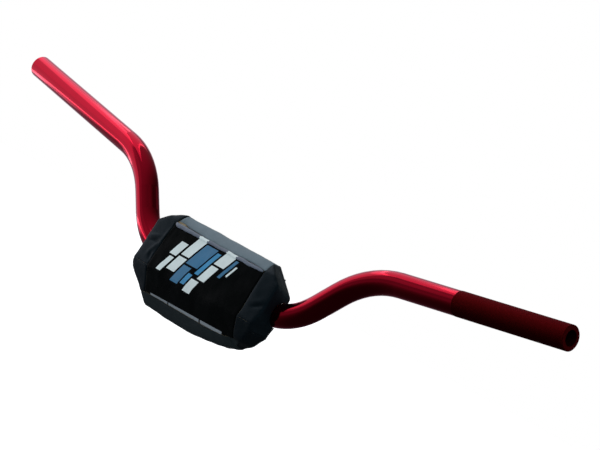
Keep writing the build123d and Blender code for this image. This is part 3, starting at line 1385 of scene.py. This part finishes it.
@dataclass
class Studio:
    """White room, soft light from the rider's right, and the camera."""

    camera_place: tuple[float, float, float] = (-1.963806, 1.776886, 0.05758)
    camera_turn: tuple[float, float, float] = (90.599646, -28.169071, -133.317033)
    lens: float = 176.55003
    floor_z: float = -340.0
    plain_light: float = 0.62
    gloss_base: float = 0.04
    # Walls that show in gloss: direction, cosines from none to full, brightness. In order:
    # round the window, opposite the camera, on the rider's left and behind the rider.
    glows: tuple[tuple[tuple[float, float, float], float, float, float], ...] = (
        ((0.74, 0.2, 0.64), 0.35, 0.85, 0.27),
        ((0.730918, -0.682403, 0.009226), 0.8, 1.0, 0.4),
        ((-0.94, 0.3, 0.17), 0.45, 0.95, 0.45),
        ((-0.52, -0.84, 0.17), 0.7, 0.98, 0.6),
    )

    def camera(self) -> None:
        """Place the camera at the photograph's viewing angle."""
        data = bpy.data.cameras.new("camera")
        data.lens = self.lens
        data.sensor_width = 36.0
        data.clip_start = 0.05
        data.clip_end = 60.0
        camera = new_object("camera", data)
        camera.location = self.camera_place
        camera.rotation_euler = tuple(math.radians(a) for a in self.camera_turn)
        bpy.context.scene.camera = camera

    def panel_light(
        self,
        name: str,
        place: tuple[float, float, float],
        aim: tuple[float, float, float],
        size: tuple[float, float],
        radiance: float,
        colour: str = "FFFFFF",
    ) -> None:
        """Add a flat soft light.

        Args:
            name: The light's name.
            place: Its middle, in metres.
            aim: Point that it faces.
            size: Its width and height, in metres.
            radiance: Brightness of its face, where 1 is white.
            colour: Its colour.
        """
        data = bpy.data.lights.new(name, "AREA")
        data.shape = "RECTANGLE"
        data.size, data.size_y = size
        data.energy = radiance * size[0] * size[1] * math.pi
        data.color = srgb(colour)[:3]
        light = new_object(name, data)
        light.location = place
        light.rotation_euler = (Vector(place) - Vector(aim)).to_track_quat("Z", "Y").to_euler()

    def world(self) -> None:
        """Light the room: white to the eye, plain to cloth, bright in patches in gloss."""
        nodes = Nodes(bpy.data.worlds.new("room"))
        bpy.context.scene.world = nodes.owner
        nodes.tree.nodes.clear()
        direction = nodes.add("ShaderNodeTexCoord").outputs["Generated"]
        gloss = self.gloss_base
        for towards, low, high, top in self.glows:
            near = nodes.add(
                "ShaderNodeVectorMath", {"operation": "DOT_PRODUCT"}, {0: direction, 1: towards}
            ).outputs["Value"]
            glow = nodes.add("ShaderNodeMapRange", {}, {0: near, 1: low, 2: high, 3: 0.0, 4: top})
            gloss = nodes.math("ADD", gloss, glow.outputs[0])
        eye, shine, plain = (
            nodes.add("ShaderNodeBackground", {}, {0: srgb(code), 1: strength}).outputs[0]
            for code, strength in (("FFFFFF", 1.0), ("F2FBFF", gloss), ("F6FBFF", self.plain_light))
        )
        path = nodes.add("ShaderNodeLightPath").outputs
        clear = nodes.math("MAXIMUM", path["Is Glossy Ray"], path["Is Transmission Ray"])
        lit = nodes.add("ShaderNodeMixShader", {}, {0: clear, 1: plain, 2: shine}).outputs[0]
        seen = nodes.add("ShaderNodeMixShader", {}, {0: path["Is Camera Ray"], 1: lit, 2: eye})
        nodes.add("ShaderNodeOutputWorld", {}, {0: seen.outputs[0]})

    def floor(self) -> None:
        """Lay the plain pale floor, white to the eye where nothing shades it."""
        bpy.ops.object.select_all(action="DESELECT")
        bpy.ops.mesh.primitive_plane_add(size=40, location=(0, 0, self.floor_z * MM))
        floor = bpy.context.object
        floor.name = "floor"
        bpy.ops.object.transform_apply(location=True, rotation=True, scale=True)
        nodes = Nodes(bpy.data.materials.new("matt white paper"))
        nodes.bump(nodes.noise(400.0), 0.0001, 0.2)
        path = nodes.add("ShaderNodeLightPath").outputs
        # In gloss the floor's colour is painted dim away from the window, a painted shade, so the
        # polished tube shows it dark there.
        run = nodes.add("ShaderNodeSeparateXYZ", inputs={0: nodes.place()}).outputs["X"]
        lit = nodes.add(
            "ShaderNodeMapRange", {"interpolation_type": "SMOOTHSTEP"}, {0: run, 1: -0.1, 2: 0.8}
        ).outputs[0]
        dim = nodes.blend_colours(lit, srgb("2A2C2E"), srgb("8A8C90"))
        nodes.shade(
            Base_Color=nodes.blend_colours(path["Is Glossy Ray"], srgb("F7F7F7"), dim),
            Roughness=1.0,
            Specular_IOR_Level=0.0,
            Emission_Color=(1, 1, 1, 1),
            Emission_Strength=nodes.math("MULTIPLY", path["Is Camera Ray"], 0.75),
        )
        floor.data.materials.append(nodes.owner)

    def build(self) -> None:
        """Build camera, lights, room and floor."""
        bpy.context.scene.view_settings.view_transform = "Standard"
        self.camera()
        self.world()
        self.floor()
        for name, middle, size, radiance, colour in (
            ("window", (0.97, 0.325, 0.26), (0.85, 1.08), 0.66, "F4F4FF"),
            ("window_far", (0.97, -0.53, 0.3), (0.84, 1.0), 0.26, "F4F4FF"),
            ("window_side", (0.97, 1.08, 0.24), (0.64, 0.88), 0.08, "F4F4FF"),
            ("window_bar", (0.95, 0.15, 0.79), (1.0, 0.035), 2.4, "FFF6F8"),
            ("window_sill", (0.96, 0.35, -0.2), (0.9, 0.035), 2.4, "FFF4F4"),
        ):
            self.panel_light(name, middle, (0.0, middle[1], middle[2]), size, radiance, colour)
        for name, middle, size, radiance, colour in (
            ("skylight", (0.92, 0.13, 0.82), (0.76, 1.2), 0.72, "F4F4FF"),
            ("skylight_edge", (0.55, 0.1, 0.81), (0.03, 0.8), 1.8, "FFF6F8"),
        ):
            self.panel_light(name, middle, (middle[0], middle[1], 0.0), size, radiance, colour)
        self.panel_light("front", (-0.9, 2.2, 0.9), (0, 0, 0), (0.9, 0.9), 0.4)


# ---------------------------------------------------------------- the rest


@dataclass
class Closures:
    """Webbing straps round the tube, with hook-and-loop tape and box stitching."""

    webbing: bpy.types.Material
    thread: bpy.types.Material
    hooks: bpy.types.Material
    loops: bpy.types.Material
    centre_x: float = -3.0
    offset: float = 60.0
    stitch_length: float = 2.2
    stitch_pitch: float = 3.0
    stitch_width: float = 0.55
    box: tuple[float, float] = (19.0, 12.0)
    box_z: float = 24.6
    box_y: float = -2.95

    def piece(
        self, node: str, name: str, material: bpy.types.Material, edge: float
    ) -> bpy.types.Object:
        """Copy a solid, soften its edges and dress it.

        Args:
            node: The CAD node that it replaces.
            name: The piece's name.
            material: Its finish.
            edge: Width of its soft edge, in millimetres.

        Returns:
            The piece.
        """
        obj = solid_copy(node, name)
        corner = {"limit_method": "ANGLE", "angle_limit": math.radians(40)}
        finish_modifier(obj, "BEVEL", width=edge * MM, segments=3, **corner)
        obj.data.materials.append(material)
        smooth(obj, 40)
        enlist(obj, node)
        return obj

    def stitch(self) -> bpy.types.Object:
        """Make one stitch: a short, round-ended length of thread along X.

        Returns:
            The stitch, at the origin.
        """
        bpy.ops.object.select_all(action="DESELECT")
        bpy.ops.mesh.primitive_cylinder_add(
            vertices=8, radius=self.stitch_width * MM / 2, depth=self.stitch_length * MM,
            rotation=(0, math.pi / 2, 0),
        )
        stitch = bpy.context.object
        bpy.ops.object.transform_apply(location=True, rotation=True, scale=True)
        corner = {"limit_method": "ANGLE", "angle_limit": 1.0}
        finish_modifier(stitch, "BEVEL", width=0.2 * MM, segments=2, **corner)
        return stitch

    def sew(self, strap: bpy.types.Object, centre: float) -> None:
        """Sew a box with a cross through the strap's upper end.

        Args:
            strap: The strap.
            centre: Its middle along X.
        """
        half_x, half_z = self.box[0] / 2, self.box[1] / 2
        corners = [
            Vector((centre + sx * half_x, self.box_y, self.box_z + sz * half_z))
            for sx, sz in ((-1, -1), (1, -1), (1, 1), (-1, 1))
        ]
        runs = list(zip(corners, corners[1:] + corners[:1])) + list(zip(corners[:2], corners[2:]))
        model = self.stitch()
        made = []
        for start, end in runs:
            run = end - start
            count = max(1, round(run.length / self.stitch_pitch))
            turn = -math.atan2(run.z, run.x)
            for step in range(count):
                place = start + run * ((step + 0.5) / count)
                copy = new_object("stitch", model.data.copy())
                for vertex in copy.data.vertices:
                    x, y, z = vertex.co
                    vertex.co = (
                        x * math.cos(turn) + z * math.sin(turn) + place.x * MM,
                        y + place.y * MM,
                        z * math.cos(turn) - x * math.sin(turn) + place.z * MM,
                    )
                for face in copy.data.polygons:
                    face.use_smooth = True
                copy.data.materials.append(self.thread)
                made.append(copy)
        bpy.data.objects.remove(model)
        only(strap)
        for copy in made:
            copy.select_set(True)
        bpy.ops.object.join()

    def build(self) -> None:
        """Make both straps and their four patches of tape."""
        for side, name in ((1, "right"), (-1, "left")):
            strap, patch = f"webbing_strap_{name}", f"hook_tape_{name}"
            strap = self.piece(f"strap_{name}", strap, self.webbing, 0.35)
            self.sew(strap, self.centre_x + side * self.offset)
            self.piece(f"hook_patch_{name}", patch, self.hooks, 0.2)
            self.piece(f"loop_patch_{name}", f"loop_tape_{name}", self.loops, 0.2)


@dataclass
class Tube:
    """The bent tube: its solid stays, with its finish."""

    tip: tuple[float, float, float] = (-394.47, -10.17, 101.98)
    outward: tuple[float, float, float] = (-0.98949, -0.044932, 0.137445)

    def dress(self, node: bpy.types.Object) -> None:
        """Give the solid its anodised finish.

        Args:
            node: The tube's CAD object.
        """
        material = AnodisedAluminium().material(Vector(self.tip) * MM, Vector(self.outward))
        node.material_slots[0].link = "OBJECT"
        node.material_slots[0].material = material
        LOG.info("handlebar_tube: finish set")


# Folds and creases of the worn cover, as the photograph shows them.
FOLDS: tuple[Fold, ...] = (
    Fold((87.5, 22.1, 9.5), (70.1, 22.7, 14.0), 0.9, 2.0),
    Fold((86.5, 22.7, 5.6), (67.8, 23.7, 8.5), -1.2, 1.8),
    Fold((68.0, 23.4, 10.0), (76.0, 24.6, -8.0), 0.9, 2.4),
    Fold((64.5, 21.5, 27.0), (67.5, 23.5, 8.0), 0.9, 2.6),
    Fold((72.5, 24.9, -2.0), (68.0, 26.2, -12.0), -0.9, 1.9),
    Fold((-80.5, 24.2, -1.5), (-94.0, 22.6, 4.5), -1.2, 1.8),
    Fold((-79.0, 24.0, 2.5), (-90.0, 22.6, 8.0), 0.5, 2.8),
    Fold((-73.5, 22.0, 24.0), (-79.0, 24.0, -8.0), 0.5, 5.0),
    Fold((55.0, 26.0, -2.0), (44.0, 26.5, -20.0), 0.7, 6.0),
    Fold((-20.0, 26.0, -22.0), (-52.0, 25.0, -10.0), 0.6, 8.0),
    Fold((-66.0, 21.0, -28.0), (-50.0, 22.0, -20.0), -0.6, 4.0),
    Fold((-62.0, 15.0, -34.0), (-68.0, 8.0, -43.0), -1.5, 2.0),
    Fold((-56.0, 14.0, -35.0), (-60.0, 6.0, -45.0), 0.7, 2.6),
    Fold((-10.0, 12.0, -44.0), (-34.0, 10.0, -43.0), 0.5, 3.2),
)


def main() -> None:
    """Build the whole scene in order."""
    logging.basicConfig(level=logging.INFO, format="%(message)s")
    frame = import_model()
    Studio().build()
    Tube().dress(frame["nodes"]["handlebar_tube"])
    CrashPad().build()
    Closures(
        webbing=Woven("woven polypropylene webbing", "16171A", 1.4, depth=0.25).material(),
        thread=Vinyl("bonded polyester thread", "2A2C30", 0.5, grain=0.3).material(),
        hooks=Fuzz("moulded hook tape", "101112", 0.9).material(),
        loops=Fuzz("brushed loop tape", "1E1F20", 0.7).material(),
    ).build()


if __name__ == "__main__":
    main()
